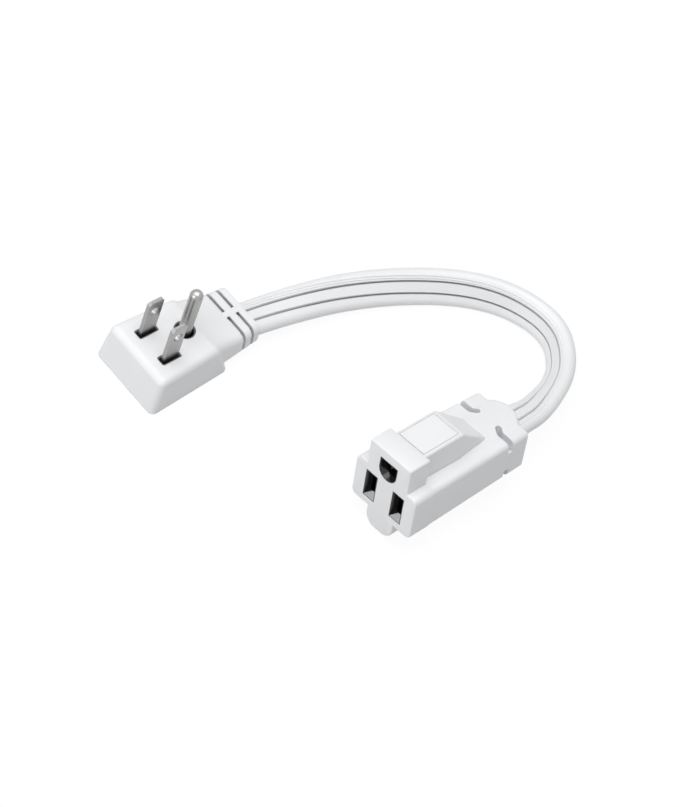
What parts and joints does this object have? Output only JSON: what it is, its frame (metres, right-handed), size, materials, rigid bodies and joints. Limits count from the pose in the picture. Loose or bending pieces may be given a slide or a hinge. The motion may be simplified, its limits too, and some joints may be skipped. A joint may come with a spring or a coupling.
{
  "type": "flat low profile plug",
  "caption": "Flat low profile grounded plug with upright flat blades and a round ground pin, on a short flat cord that ends in an in-line socket connector.",
  "frame": {"origin": "on the plug's flat back face, under the middle of the line between the two blades", "axes": "+Z along the pins, out of the plug's face; +X from the blades to the ground pin, the way the cord leaves; +Y completes a right-handed frame"},
  "size_m": [0.1537, 0.1198, 0.0377],
  "materials": {
    "white_pvc": "satin moulded white PVC",
    "white_plastic": "satin moulded white plastic",
    "cord_pvc": "smooth white flexible PVC",
    "nickel_plated_brass": "nickel plated, lightly brushed",
    "contact_brass": "bare rolled strip",
    "dark_plastic": "matt black moulding",
    "black_insulation": "smooth black PVC",
    "white_insulation": "smooth white PVC",
    "green_insulation": "smooth green PVC",
    "copper": "bare stranded copper"
  },
  "bodies": {
    "root": {"cord": "cord_pvc", "hot_blade": "nickel_plated_brass", "neutral_blade": "nickel_plated_brass", "ground_pin": "nickel_plated_brass", "plug_bridge": "dark_plastic", "plug_body": "white_pvc", "connector_body": "white_pvc", "connector_face": "white_plastic", "connector_back_plate": "dark_plastic", "contact_carrier": "dark_plastic", "hot_contact": "contact_brass", "neutral_contact": "contact_brass", "ground_contact": "contact_brass", "plug_hot_core": "black_insulation", "plug_neutral_core": "white_insulation", "plug_ground_core": "green_insulation", "plug_hot_strands": "copper", "plug_neutral_strands": "copper", "plug_ground_strands": "copper", "connector_hot_core": "black_insulation", "connector_neutral_core": "white_insulation", "connector_ground_core": "green_insulation", "connector_hot_strands": "copper", "connector_neutral_strands": "copper", "connector_ground_strands": "copper"}
  },
  "joints": []
}
